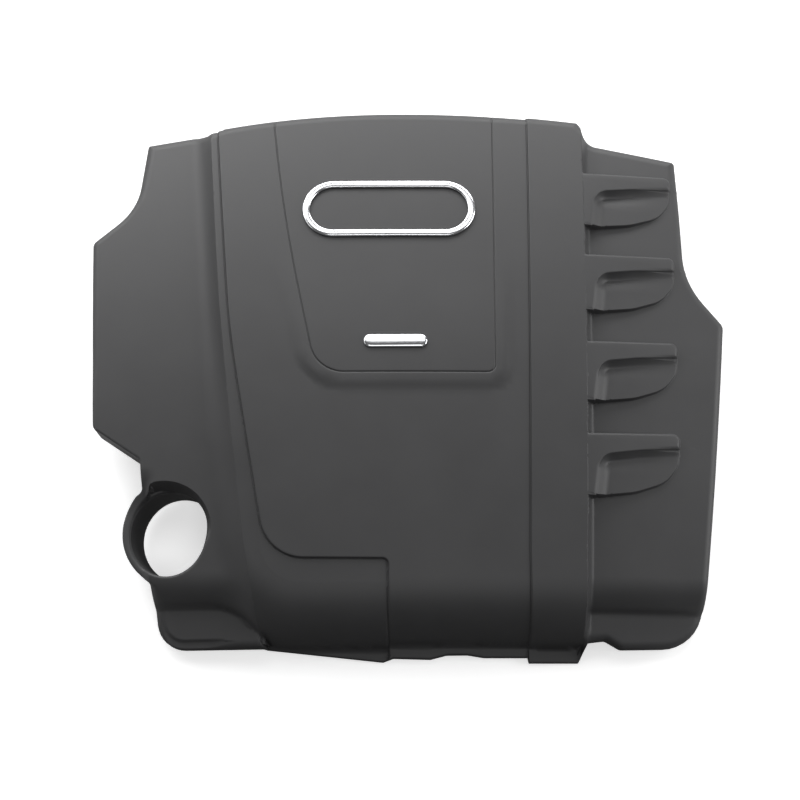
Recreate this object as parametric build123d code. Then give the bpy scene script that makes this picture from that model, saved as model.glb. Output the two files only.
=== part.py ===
from build123d import *
import math
import os

os.makedirs("parts", exist_ok=True)

# Engine cover: one moulded shell on four rubber sockets, with a foam pad and bright trim.
# Millimetres. +X is the right of the cover, +Y its rear, +Z up, z = 0 the lowest edge. Places below are
# measured from the top of the crown; the parts are saved with the middle of the plan at the origin.

# Moulding
WALL = 3.0                  # wall of the moulding
SKIRT_BOTTOM = 20.0         # height of the wings' lower edge
FRONT_BOTTOM = 6.0          # height of the wings' lower edge at the front
SKIRT_STEP_Y = -168.0       # where the wings' lower edge starts to fall to the front
SKIRT_STEP_RUN = 30.0
RIM_ROUND = 2.5             # rounding of the wings' top edge
EDGE_ROUND = 1.0            # rounding of the raised panels and the rib

# Crowned roof
CROWN_APEX = 76.0           # height of the ledge at the middle of the cover
CROWN_FORE_AFT = 1300.0     # crown radius from front to rear
CROWN_ACROSS = 2500.0       # crown radius from side to side
PANEL_RISE = 2.0            # main panel above the ledge
BADGE_RISE = 1.8            # badge panel above the main panel, at its front edge
RIB_RISE = 3.5              # long rib above the ledge

# Centre block, plan
REAR_Y = 251.8              # rear edge at the middle
REAR_LEFT = (-181.0, 235.0)
REAR_RIGHT = (158.3, 241.5)
FRONT_RIGHT = (147.0, -244.0)
RIB_LIP_Y = -244.0          # front lip of the rib
PANEL_LIP_Y = -239.5        # front lip of the main panel
LEDGE_LIP_Y = -243.0        # front lip of the ledge, beside the panel
LEDGE_FRONT = (-116.0, -232.5)
RIDGE_FRONT = (-104.0, -232.5)
RIDGE_MID = (-165.5, 5.0)   # ridge between the centre and the left wing
RIDGE_Z = 66.0              # height at which the ridge runs through these points
RAMP_DRAFT = 24.0           # draft of the ramp below the ridge, degrees

# Front of the centre: a shoulder that rolls down to a flared lip
CENTRE_SHOULDER_Y = -185.0
CENTRE_SHOULDER_R = 57.0
CENTRE_STEEP = 84.0         # steepest slope, degrees
CENTRE_FLARE_R = 6.0
CENTRE_LIP_SLOPE = 25.0     # slope of the lip, degrees

# Main panel, badge panel and seam, plan
PANEL_REAR_X = -171.5
PANEL_BEND = (-152.0, 50.0)
PANEL_BEND_R = 1500.0
PANEL_CORNER = (-112.0, -161.5)
PANEL_CORNER_R = 42.0
PANEL_FOOT = (-14.0, -164.0)
PANEL_FOOT_R = 5.0
BADGE_REAR_LEFT_X = -121.5
BADGE_BEND = (-104.0, 130.0)
BADGE_BEND_R = 600.0
BADGE_CORNER = (-76.0, -5.5)
BADGE_CORNER_R = 30.0
BADGE_RIGHT_X = 77.5
BADGE_RIGHT_R = 7.0
BADGE_REAR_RIGHT_X = 80.8
SEAM_REAR_X = 111.5         # at the rear edge
SEAM_FRONT_X = 101.0        # at the rib's lip
GROOVE_WIDTH = 1.6
GROOVE_DEPTH = 1.4

# Left wing
LEFT_DROP = 11.0            # below the ledge
LEFT_REACH = -281.6
LEFT_REAR = (-238.0, 229.0)
LEFT_WAIST = (-243.2, 160.3)
LEFT_WAIST_R = 55.0
LEFT_SHOULDER_Y = 127.5
LEFT_HIP = (-269.9, -50.0)
LEFT_STEP = (-228.5, -79.0)
LEFT_NOTCH = (-225.0, -99.0)
LEFT_FOOT = (-219.0, -179.0)
LEFT_REAR_FOOT = (-196.0, 235.3)
LEFT_CORNER = (-208.5, -234.0)
LEFT_CORNER_R = 24.0
SMALL_CORNER_R = 5.0
REACH_CORNER_R = 7.0        # corners where the wings reach furthest out
LEFT_ROLL_Y = -150.0
LEFT_ROLL_R = 40.0
LEFT_STEEP = 58.0
LEFT_FLARE_R = 28.0
LEFT_LIP_SLOPE = 8.0

# Oil filler well in the left wing
WELL_X = -199.5             # axis at the collar
WELL_Y = -136.5
WELL_R = 34.5               # clears the filler cap
WELL_LEAN = 8.0             # leans out to the left, degrees
WELL_BOTTOM = 4.0
COLLAR_X = -193.5
COLLAR_Y = -136.5
COLLAR_R = 48.2
COLLAR_Z = 38.0

# Right wing
RIGHT_DROP = 12.2           # below the rib
RIGHT_TILT = 3.0            # falls to the right by this much more than the crown, degrees
RIGHT_REACH = 283.4
RIGHT_REAR = (172.0, 225.4)
RIGHT_REAR_R = 12.0
RIGHT_EDGE = (250.0, 212.6)
RIGHT_WAIST = (250.0, 88.2)
RIGHT_WAIST_R = 72.0
RIGHT_SHOULDER_Y = 48.3
RIGHT_BEND = (268.0, -90.0)
RIGHT_BEND_R = 800.0
RIGHT_CORNER = (252.0, -233.5)
RIGHT_CORNER_R = 36.0
RIGHT_ROLL_Y = -163.0
RIGHT_ROLL_R = 32.0
RIGHT_STEEP = 58.0
RIGHT_FLARE_R = 18.0
RIGHT_LIP_SLOPE = 8.0
SCALLOP_X = 170.0           # shallow scallop in the front skirt beside the rib
SCALLOP_WIDTH = 28.0        # across its mouth
SCALLOP_DEPTH = 8.0
SCALLOP_R = 5.0

# Gills on the right wing: each is a finger from the rib and a lens-shaped step below it
GILL_COUNT = 4
GILL_PITCH = 81.8
GILL_REAR_Y = 188.2         # rear edge of the first finger
FINGER_LENGTH = 86.0        # from the rib
FINGER_WIDTH = 18.5         # at its root
FINGER_TIP = 10.5           # at its end, in front of the root's rear edge
FINGER_LEAN = 3.0           # its end lies this much further to the rear
FINGER_SLOPE = 5.2          # falls to the right by this much more than the wing, degrees
LENS_WIDTH = 33.5
LENS_DROP = 5.5             # below the finger, at the rib
LENS_SLOPE = 3.5
GILL_CORNER_R = 4.0
FINGER_ROUND = 2.0          # rounding of a finger's top edge
LENS_ROUND = 1.2            # rounding of a lens step's top edge

# Grommet sockets under the roof
SOCKET_REAR_Y = 150.0
SOCKET_FRONT_Y = -112.0
SOCKET_REAR_LEFT_X = -138.0
SOCKET_FRONT_LEFT_X = -100.0
SOCKET_RIGHT_X = 128.0
SOCKET_BOTTOM = 34.0
SOCKET_WALL = 2.8
GUSSET_T = 2.2
GUSSET_REACH = 16.0
GUSSET_HEIGHT = 24.0

# Rubber grommets
GROMMET_R = 10.0
GROMMET_LENGTH = 14.0
GROMMET_FLANGE_R = 14.0
GROMMET_FLANGE_T = 3.0
BALL_R = 6.0
GROMMET_MOUTH_R = 4.8
SEAT_GAP = 0.15             # clearance where pieces seat

# Foam pad
FOAM_T = 14.0
FOAM_LEFT_X = -88.0
FOAM_RIGHT_X = 84.0
FOAM_REAR_Y = 205.0
FOAM_FRONT_Y = -150.0
FOAM_CORNER_R = 20.0
POCKET_GAP = 1.0            # clearance round a pin's seat, nut and tail

# Bright trim on the badge panel
TRIM_X = -14.0
TRIM_Y = 149.0
LOOP_LENGTH = 154.0
LOOP_WIDTH = 56.0
LOOP_BAND = 7.0
TRIM_T = 3.0
BAR_X = -8.0
BAR_Y = 22.0
BAR_LENGTH = 55.0
BAR_WIDTH = 12.0
PIN_R = 2.0
PIN_SEAT_R = 6.5
PIN_SEAT_T = 2.0
NUT_R = 6.0
NUT_T = 1.2
PIN_TAIL = 1.5

# Sizes that follow from the ones above
PAST = 310.0                # past every edge of the cover
FAR = PAST + 10.0
DEEP = 80.0                 # below every edge of the cover
SOCKET_BORE = GROMMET_R + SEAT_GAP
SOCKET_R = SOCKET_BORE + SOCKET_WALL
MIDDLE_X = (LEFT_REACH + RIGHT_REACH) / 2
MIDDLE_Y = (REAR_Y + RIB_LIP_Y) / 2


# Helpers

def normal(slope):
    """Upward normal, as (y, z), of a surface that falls to the front at this slope."""
    angle = math.radians(slope)
    return Vector(-math.sin(angle), math.cos(angle))


def crown_height(x, y, inset=0.0):
    """Height of the crowned roof, or of the surface that lies inset below it."""
    radius = CROWN_ACROSS - CROWN_FORE_AFT + math.sqrt((CROWN_FORE_AFT - inset) ** 2 - y ** 2)
    return CROWN_APEX - CROWN_ACROSS + math.sqrt(radius ** 2 - x ** 2)


def arc_between(centre, radius, slope_a, slope_b):
    """Arc of a section, from one slope to another; a negative radius is a hollow."""
    ends = [centre + normal(s) * radius for s in (slope_a, (slope_a + slope_b) / 2, slope_b)]
    return ThreePointArc(*ends)


def vault(inset, roll_y, roll_r, steep, flare_r, lip_slope):
    """Solid under the crowned roof: crown, front shoulder and flared lip, swept side to side."""
    crown_c = Vector(0, CROWN_APEX - CROWN_FORE_AFT)
    slope_rear = -math.degrees(math.asin(FAR / CROWN_FORE_AFT))
    slope_roll = -math.degrees(math.asin(roll_y / CROWN_FORE_AFT))
    roll_c = crown_c + normal(slope_roll) * (CROWN_FORE_AFT - roll_r)
    flare_c = roll_c + normal(steep) * (roll_r + flare_r)
    crown = arc_between(crown_c, CROWN_FORE_AFT - inset, slope_rear, slope_roll)
    roll = arc_between(roll_c, roll_r - inset, slope_roll, steep)
    flare = arc_between(flare_c, -flare_r - inset, steep, lip_slope)
    lip_start = flare @ 1
    run = lip_start.X + FAR
    lip_end = Vector(-FAR, lip_start.Y - run * math.tan(math.radians(lip_slope)))
    below = Polyline(lip_end, (-FAR, -DEEP), (FAR, -DEEP), crown @ 0)
    section = Plane.YZ * make_face(crown + roll + flare + Line(lip_start, lip_end) + below)
    hinge = Axis((0, 0, CROWN_APEX - CROWN_ACROSS), (0, 1, 0))
    half = math.degrees(math.asin(FAR / CROWN_ACROSS))
    return revolve(section.rotate(hinge, -half), axis=hinge, revolution_arc=2 * half)


def centre_vault(inset):
    return vault(inset, CENTRE_SHOULDER_Y, CENTRE_SHOULDER_R, CENTRE_STEEP,
                 CENTRE_FLARE_R, CENTRE_LIP_SLOPE)


def left_vault(inset):
    body = vault(inset, LEFT_ROLL_Y, LEFT_ROLL_R, LEFT_STEEP, LEFT_FLARE_R, LEFT_LIP_SLOPE)
    return Pos(0, 0, -LEFT_DROP) * body


def right_vault(inset, drop=RIGHT_DROP, tilt=RIGHT_TILT):
    """Roof of the right wing, or of a gill: hinged down from the rib's right edge."""
    body = vault(inset, RIGHT_ROLL_Y, RIGHT_ROLL_R, RIGHT_STEEP, RIGHT_FLARE_R, RIGHT_LIP_SLOPE)
    hinge = Pos(REAR_RIGHT[0], 0, CROWN_APEX)
    return Pos(0, 0, RIB_RISE - drop) * hinge * Rot(0, tilt, 0) * hinge.inverse() * body


def prism(face, bottom=-DEEP / 2, top=CROWN_APEX + DEEP / 2):
    return Pos(0, 0, bottom) * extrude(face, top - bottom)


def plan(*corners):
    """Face of a closed outline, given as (x, y, corner radius)."""
    points = [(x, y) for x, y, r in corners]
    return make_face(FilletPolyline(*points, radius=[r for x, y, r in corners], close=True))


def rounded(body, radius, keep=lambda place: True):
    """The body with its roof's outer edges rounded, those whose middle passes the test."""
    roof_kinds = (GeomType.REVOLUTION, GeomType.TORUS, GeomType.CONE)
    roof_edges = [e for f in body.faces() if f.geom_type in roof_kinds for e in f.edges()]
    rim = [e for e in roof_edges if sum(e.is_same(other) for other in roof_edges) == 1]
    return fillet([e for e in rim if keep(e.center())], radius)


def inside(face, inset):
    return offset(face, -inset) if inset else face


def x_on_line(start, end, y):
    """x at a given y on the straight line through two points."""
    return start[0] + (end[0] - start[0]) * (y - start[1]) / (end[1] - start[1])


# Plan outlines

def seam_x(y):
    return x_on_line((SEAM_FRONT_X, RIB_LIP_Y), (SEAM_REAR_X, REAR_Y), y)


def centre_face():
    rear = ThreePointArc(REAR_LEFT, ((REAR_LEFT[0] + REAR_RIGHT[0]) / 2, REAR_Y), REAR_RIGHT)
    seam_step = RIB_LIP_Y - PANEL_LIP_Y
    foot_step = LEDGE_LIP_Y - PANEL_LIP_Y
    front = Polyline(REAR_RIGHT, FRONT_RIGHT,
                     (SEAM_FRONT_X - seam_step, RIB_LIP_Y), (SEAM_FRONT_X, PANEL_LIP_Y),
                     (PANEL_FOOT[0], PANEL_LIP_Y), (PANEL_FOOT[0] + foot_step, LEDGE_LIP_Y),
                     LEDGE_FRONT)
    ridge = ThreePointArc(LEDGE_FRONT, RIDGE_MID, REAR_LEFT)
    return make_face(rear + front + ridge)


def panel_corners():
    return [(PANEL_REAR_X, PAST, 0), (*PANEL_BEND, PANEL_BEND_R),
            (*PANEL_CORNER, PANEL_CORNER_R), (*PANEL_FOOT, PANEL_FOOT_R),
            (PANEL_FOOT[0], -PAST, 0)]


def badge_corners():
    return [(BADGE_REAR_LEFT_X, PAST, 0), (*BADGE_BEND, BADGE_BEND_R),
            (*BADGE_CORNER, BADGE_CORNER_R), (BADGE_RIGHT_X, BADGE_CORNER[1], BADGE_RIGHT_R),
            (BADGE_REAR_RIGHT_X, PAST, 0)]


def panel_face():
    seam = [(seam_x(-PAST), -PAST, 0), (seam_x(PAST), PAST, 0)]
    return plan(*panel_corners(), *seam)


def badge_face():
    return plan(*badge_corners())


def rib_face():
    return make_face(Polyline((seam_x(-PAST), -PAST), (PAST, -PAST), (PAST, PAST),
                              (seam_x(PAST), PAST), close=True))


def left_face():
    well_edge = WELL_R - WALL
    return plan((*LEFT_REAR, SMALL_CORNER_R), (*LEFT_WAIST, LEFT_WAIST_R),
                (LEFT_REACH, LEFT_SHOULDER_Y, REACH_CORNER_R), (*LEFT_HIP, REACH_CORNER_R),
                (*LEFT_STEP, SMALL_CORNER_R), (*LEFT_NOTCH, SMALL_CORNER_R),
                (WELL_X, WELL_Y + well_edge, 0), (WELL_X, WELL_Y - well_edge, 0),
                (*LEFT_FOOT, SMALL_CORNER_R), (*LEFT_CORNER, LEFT_CORNER_R), (*LEDGE_FRONT, 0),
                (PANEL_CORNER[0], 0, 0), (RIDGE_MID[0] + SMALL_CORNER_R, REAR_LEFT[1], 0),
                (*REAR_LEFT, 0), (*LEFT_REAR_FOOT, SMALL_CORNER_R))


def right_face():
    front, scallop = RIGHT_CORNER[1], RIGHT_CORNER[1] + SCALLOP_DEPTH
    return plan((*RIGHT_REAR, RIGHT_REAR_R), (*RIGHT_EDGE, SMALL_CORNER_R),
                (*RIGHT_WAIST, RIGHT_WAIST_R), (RIGHT_REACH, RIGHT_SHOULDER_Y, REACH_CORNER_R),
                (*RIGHT_BEND, RIGHT_BEND_R), (*RIGHT_CORNER, RIGHT_CORNER_R),
                (SCALLOP_X + SCALLOP_WIDTH / 2, front, SCALLOP_R), (SCALLOP_X, scallop, SCALLOP_R),
                (FRONT_RIGHT[0], scallop, 0), (seam_x(0), 0, 0), (REAR_RIGHT[0], REAR_RIGHT[1], 0))


def collar_face():
    left_part = Pos(COLLAR_X - COLLAR_R, COLLAR_Y) * Rectangle(2 * COLLAR_R + WELL_R, 3 * COLLAR_R)
    return Pos(COLLAR_X, COLLAR_Y) * Circle(COLLAR_R) & left_part


def gill_places():
    for i in range(GILL_COUNT):
        y = GILL_REAR_Y - i * GILL_PITCH
        yield Pos(x_on_line(FRONT_RIGHT, REAR_RIGHT, y), y)


def finger_face():
    """Band from the rib, with a rounded end, that turns down along the rib at its front."""
    inner = -2 * WALL
    front = LENS_ROUND - FINGER_WIDTH - LENS_WIDTH
    return plan((inner, 0, 0), (FINGER_LENGTH, FINGER_LEAN, GILL_CORNER_R),
                (FINGER_LENGTH - 2, -FINGER_TIP, GILL_CORNER_R),
                (FINGER_WIDTH, -FINGER_WIDTH, FINGER_WIDTH), (FINGER_WIDTH / 2, front, 0), (inner, front, 0))


def lens_face():
    """Step in front of a finger, with a bowed front edge."""
    front = -FINGER_WIDTH - LENS_WIDTH
    return plan((0, -FINGER_TIP / 2, 0), (FINGER_LENGTH - 3, -FINGER_TIP / 2, 0),
                (FINGER_LENGTH - 3, -FINGER_WIDTH - LENS_WIDTH / 2, LENS_WIDTH / 2),
                (FINGER_LENGTH / 3, front, 2 * LENS_WIDTH), (0, front, 0))


# Solids of the moulding, outside and inside

def wing_space():
    """Everything above the wings' lower edge, which falls toward the front."""
    low_y = SKIRT_STEP_Y - SKIRT_STEP_RUN
    profile = make_face(Polyline((-FAR, FRONT_BOTTOM), (low_y, FRONT_BOTTOM),
                                 (SKIRT_STEP_Y, SKIRT_BOTTOM), (FAR, SKIRT_BOTTOM),
                                 (FAR, FAR), (-FAR, FAR), close=True))
    return extrude(Plane.YZ * profile, FAR, both=True)


def ridge_block(inset):
    """Drafted block whose left flank is the ramp from the ridge down to the left wing."""
    ridge = ThreePointArc(RIDGE_FRONT, RIDGE_MID, REAR_LEFT).edge()
    centre, radius = ridge.arc_center, ridge.radius
    draft = math.radians(RAMP_DRAFT)
    top = CROWN_APEX + DEEP / 2
    shift = (top - RIDGE_Z) * math.tan(draft) + inset / math.cos(draft)
    ys = (-FAR, 0, FAR)
    flank = ThreePointArc(*[(centre.X - math.sqrt(radius ** 2 - (y - centre.Y) ** 2) + shift, y)
                            for y in ys])
    rest = Polyline(flank @ 1, (FAR, FAR), (FAR, -FAR), flank @ 0)
    return extrude(Pos(0, 0, top) * make_face(flank + rest), -top - DEEP / 2, taper=-RAMP_DRAFT)


def on_roof(place):
    """Edges of the crown, clear of the front shoulder and the rear edge."""
    return CENTRE_SHOULDER_Y < place.Y < REAR_Y


def centre_roof(inset):
    """Crowned roof with the main panel and the rib raised on it."""
    roof = centre_vault(inset)
    for face, rise in ((panel_face(), PANEL_RISE), (rib_face(), RIB_RISE)):
        raised = prism(inside(face, inset)) & centre_vault(inset - rise)
        roof += raised if inset else rounded(raised, EDGE_ROUND, on_roof)
    return roof


def centre_body(inset):
    """Ledge with its ramp, main panel and rib."""
    space = prism(inside(centre_face(), inset), 0 if inset == 0 else -DEEP / 2)
    space += prism(inside(left_face(), inset)) & wing_space()
    return centre_roof(inset) & ridge_block(inset) & space


def badge_roof(rise):
    """Surface at a height above the badge panel, which lifts toward the front."""
    lift = math.degrees(math.atan2(BADGE_RISE, REAR_Y - BADGE_CORNER[1]))
    hinge = Pos(0, REAR_Y, crown_height(0, REAR_Y))
    return hinge * Rot(-lift, 0, 0) * hinge.inverse() * centre_vault(-PANEL_RISE - rise)


def badge_body():
    """Badge panel: level with the main panel at the rear, proud of it at the front."""
    return rounded(prism(badge_face() & centre_face(), CROWN_APEX / 2) & badge_roof(0), EDGE_ROUND)


def left_body(inset):
    """Left wing, and the collar round the filler well."""
    wing = prism(inside(left_face(), inset)) & left_vault(inset)
    if inset == 0:
        wing = rounded(wing, RIM_ROUND)
    collar = prism(inside(collar_face(), inset), -DEEP / 2, COLLAR_Z - inset)
    return wing + collar


def right_body(inset):
    """Right wing with its gills."""
    body = prism(inside(right_face(), inset)) & right_vault(inset)
    if inset == 0:
        body = rounded(body, RIM_ROUND, lambda place: place.X > REAR_RIGHT[0] + RIGHT_REAR_R)
    steps = ((finger_face(), 0, FINGER_SLOPE, FINGER_ROUND),
             (lens_face(), LENS_DROP, LENS_SLOPE, LENS_ROUND))
    for face, drop, slope, edge in steps:
        roof = right_vault(inset, drop, RIGHT_TILT + slope)
        for place in gill_places():
            step = prism(place * inside(face, inset)) & roof
            body += step if inset else rounded(step, edge)
    return body


def groove(path, floor):
    """Groove along a plan path, down to the given roof."""
    return prism(trace(path, GROOVE_WIDTH), CROWN_APEX / 20) - floor


def open_path(corners):
    points = [(x, y) for x, y, r in corners]
    return FilletPolyline(*points, radius=[r for x, y, r in corners[1:-1]])


def well_cylinder(radius):
    """Cylinder on the leaning axis of the filler well, past both ends of it."""
    return Pos(WELL_X, WELL_Y, COLLAR_Z) * Rot(0, -WELL_LEAN, 0) * Cylinder(radius, 2 * FAR)


def well_tube():
    above = prism(Rectangle(2 * FAR, 2 * FAR), WELL_BOTTOM)
    return well_cylinder(WELL_R + WALL) & left_body(WALL / 2) & above


def socket_places():
    return {"rear_left": (SOCKET_REAR_LEFT_X, SOCKET_REAR_Y, PANEL_RISE),
            "rear_right": (SOCKET_RIGHT_X, SOCKET_REAR_Y, RIB_RISE),
            "front_left": (SOCKET_FRONT_LEFT_X, SOCKET_FRONT_Y, PANEL_RISE),
            "front_right": (SOCKET_RIGHT_X, SOCKET_FRONT_Y, RIB_RISE)}


def socket_solid(x, y, rise):
    """Tube that hangs from the roof, with four gussets."""
    roof = crown_height(x, y, WALL - rise)
    top = roof + 2 * WALL
    tip = SOCKET_R + GUSSET_REACH
    tube = Pos(x, y) * prism(Circle(SOCKET_R), SOCKET_BOTTOM, top)
    gusset = make_face(Polyline((0, roof - GUSSET_HEIGHT), (SOCKET_R, roof - GUSSET_HEIGHT),
                                (tip, roof - WALL), (tip, top), (0, top), close=True))
    for turn in range(4):
        plate = extrude(Plane.XZ * gusset, GUSSET_T / 2, both=True)
        tube += Pos(x, y) * Rot(0, 0, 90 * turn) * plate
    return tube


def socket_bore(x, y):
    """Grommet seat, and the narrower core above it."""
    shoulder = SOCKET_BOTTOM + GROMMET_LENGTH + SEAT_GAP
    seat = prism(Circle(SOCKET_BORE), 0, shoulder)
    return Pos(x, y) * (seat + prism(Circle(SOCKET_BORE - SOCKET_WALL), 0))


def pin_places():
    """Pins of the loop and of the bar."""
    half_x = (LOOP_LENGTH - LOOP_WIDTH) / 2
    half_y = (LOOP_WIDTH - LOOP_BAND) / 2
    loop = [(TRIM_X + i * half_x, TRIM_Y + j * half_y) for i in (-1, 1) for j in (-1, 1)]
    bar = [(BAR_X + i * BAR_LENGTH / 3, BAR_Y) for i in (-1, 1)]
    return loop, bar


def pin_seat_z(x, y):
    """Underside of a pin's seat below the roof."""
    return crown_height(x, y, WALL - PANEL_RISE) - PIN_SEAT_T


def pin_tail_z(x, y):
    """Lower end of a pin, past its nut."""
    return pin_seat_z(x, y) - SEAT_GAP - NUT_T - PIN_TAIL


def all_pins():
    loop, bar = pin_places()
    return loop + bar


def outer_form():
    """The cover's outside as one solid, down to its lower edges."""
    wings = (left_body(0) + right_body(0)) & wing_space()
    return centre_body(0) + badge_body() + wings


def inner_form():
    """The hollow under the cover."""
    return centre_body(WALL) + left_body(WALL) + right_body(WALL)


def underside_parts():
    """Filler tube, grommet sockets and pin seats, rooted in the middle of the wall."""
    parts = [socket_solid(x, y, rise) for x, y, rise in socket_places().values()]
    parts += [Pos(x, y) * prism(Circle(PIN_SEAT_R), pin_seat_z(x, y)) for x, y in all_pins()]
    rooted = centre_body(WALL / 2)
    return [well_tube()] + [part & rooted for part in parts]


def cuts():
    """Grooves of the panels and the seam, the filler well, socket bores and pin holes."""
    seam = Line((seam_x(-FAR), -FAR), (seam_x(FAR), FAR))
    panel_floor = centre_vault(GROOVE_DEPTH - PANEL_RISE)
    cavity = centre_body(WALL)
    solids = [groove(open_path(panel_corners()), centre_vault(GROOVE_DEPTH)),
              groove(open_path(badge_corners()), panel_floor), groove(seam, panel_floor),
              well_cylinder(WELL_R)]
    solids += [socket_bore(x, y) & cavity for x, y, rise in socket_places().values()]
    solids += [Pos(x, y) * prism(Circle(PIN_R + SEAT_GAP), 0) for x, y in all_pins()]
    return solids


def cover_shell():
    return outer_form() - inner_form() + underside_parts() - cuts()


def grommet(x, y):
    """Rubber socket for a ball stud: body, flange under the tube, and a ball-shaped hollow."""
    flange_z = SOCKET_BOTTOM - SEAT_GAP
    section = make_face(Polyline((0, flange_z - GROMMET_FLANGE_T),
                                 (GROMMET_FLANGE_R, flange_z - GROMMET_FLANGE_T),
                                 (GROMMET_FLANGE_R, flange_z), (GROMMET_R, flange_z),
                                 (GROMMET_R, SOCKET_BOTTOM + GROMMET_LENGTH),
                                 (0, SOCKET_BOTTOM + GROMMET_LENGTH), close=True))
    body = revolve(Plane.XZ * section, axis=Axis.Z)
    body -= Pos(0, 0, SOCKET_BOTTOM + GROMMET_LENGTH / 3) * Sphere(BALL_R)
    body -= prism(Circle(GROMMET_MOUTH_R), 0)
    return Pos(x, y) * body


def foam_pad():
    """Foam block that follows the roof, clear of the sockets, with pockets for the pins' nuts and tails."""
    glue = WALL - PANEL_RISE + SEAT_GAP
    face = plan((FOAM_LEFT_X, FOAM_FRONT_Y, FOAM_CORNER_R), (FOAM_RIGHT_X, FOAM_FRONT_Y, FOAM_CORNER_R),
                (FOAM_RIGHT_X, FOAM_REAR_Y, FOAM_CORNER_R), (FOAM_LEFT_X, FOAM_REAR_Y, FOAM_CORNER_R))
    for x, y, rise in socket_places().values():
        face -= Pos(x, y) * Circle(SOCKET_R + GUSSET_REACH + WALL)
    pad = prism(face, 0) & centre_vault(glue) - centre_vault(glue + FOAM_T)
    return pad - [Pos(x, y) * prism(Circle(PIN_SEAT_R + POCKET_GAP), pin_tail_z(x, y) - POCKET_GAP)
                  for x, y in all_pins()]


def trim(face, pins):
    """Bright piece that follows the badge panel, with pins through the roof."""
    piece = prism(face, CROWN_APEX / 2) & badge_roof(SEAT_GAP + TRIM_T) - badge_roof(SEAT_GAP)
    for x, y in pins:
        top = crown_height(x, y, -PANEL_RISE - TRIM_T)
        piece += Pos(x, y) * prism(Circle(PIN_R), pin_tail_z(x, y), top)
    return piece


def trim_loop():
    outline = SlotOverall(LOOP_LENGTH, LOOP_WIDTH) - SlotOverall(LOOP_LENGTH - 2 * LOOP_BAND,
                                                                 LOOP_WIDTH - 2 * LOOP_BAND)
    return trim(Pos(TRIM_X, TRIM_Y) * outline, pin_places()[0])


def trim_bar():
    return trim(Pos(BAR_X, BAR_Y) * SlotOverall(BAR_LENGTH, BAR_WIDTH), pin_places()[1])


def push_nuts():
    ring = Circle(NUT_R) - Circle(PIN_R + SEAT_GAP)
    nuts = []
    for x, y in all_pins():
        top = pin_seat_z(x, y) - SEAT_GAP
        nuts.append(Pos(x, y) * prism(ring, top - NUT_T, top))
    return Compound(nuts)


def save(shape, name):
    """STEP file of a part, moved so that the middle of the plan is the origin."""
    export_step(Pos(-MIDDLE_X, -MIDDLE_Y) * shape, f"parts/{name}.step")


def main():
    save(cover_shell(), "cover_shell")
    for name, (x, y, rise) in socket_places().items():
        save(grommet(x, y), f"grommet_{name}")
    save(foam_pad(), "acoustic_foam_pad")
    save(trim_loop(), "trim_loop")
    save(trim_bar(), "trim_bar")
    save(push_nuts(), "trim_push_nuts")


if __name__ == "__main__":
    main()
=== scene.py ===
# %% [markdown]
# # A moulded engine cover
# The cover is one large injection moulding in dark grey nylon. It has a crowned centre, a lower wing on
# each side, a well for the oil filler and four stepped gills. The CAD model gives the frame and the size, so
# it is loaded first and never changed: the pieces made here stand in for its nodes.

# %% Load the frame
import math

import bpy
import numpy as np
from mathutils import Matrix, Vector
from mathutils.geometry import delaunay_2d_cdt


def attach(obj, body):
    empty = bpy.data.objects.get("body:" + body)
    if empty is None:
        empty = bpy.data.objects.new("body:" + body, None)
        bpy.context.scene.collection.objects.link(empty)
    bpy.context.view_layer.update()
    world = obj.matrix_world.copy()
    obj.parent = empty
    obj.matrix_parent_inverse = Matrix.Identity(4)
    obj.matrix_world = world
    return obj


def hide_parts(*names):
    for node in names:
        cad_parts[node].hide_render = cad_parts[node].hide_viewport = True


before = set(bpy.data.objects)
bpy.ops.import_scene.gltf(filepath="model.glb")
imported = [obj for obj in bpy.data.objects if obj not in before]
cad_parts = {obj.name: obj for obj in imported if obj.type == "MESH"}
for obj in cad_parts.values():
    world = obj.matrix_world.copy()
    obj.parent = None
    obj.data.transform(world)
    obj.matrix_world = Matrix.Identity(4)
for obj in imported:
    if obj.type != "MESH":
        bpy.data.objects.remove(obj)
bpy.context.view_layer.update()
MM = 0.001                      # the sums below are in millimetres, the scene is in metres
MIDDLE = (0.9, 3.9, 0.0)        # the sums start at the top of the crown, the CAD at the plan's middle
print("CAD nodes:", ", ".join(sorted(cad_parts)))

# %% [markdown]
# ## Lines in plan
# A moulding's edges are drawn in plan as straight runs with rounded corners, as in the tool drawing. Two
# small helpers make such a line and divide it evenly; two more say how far a point is from a line and
# whether it is inside a closed one. All of them work on whole arrays.

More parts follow.
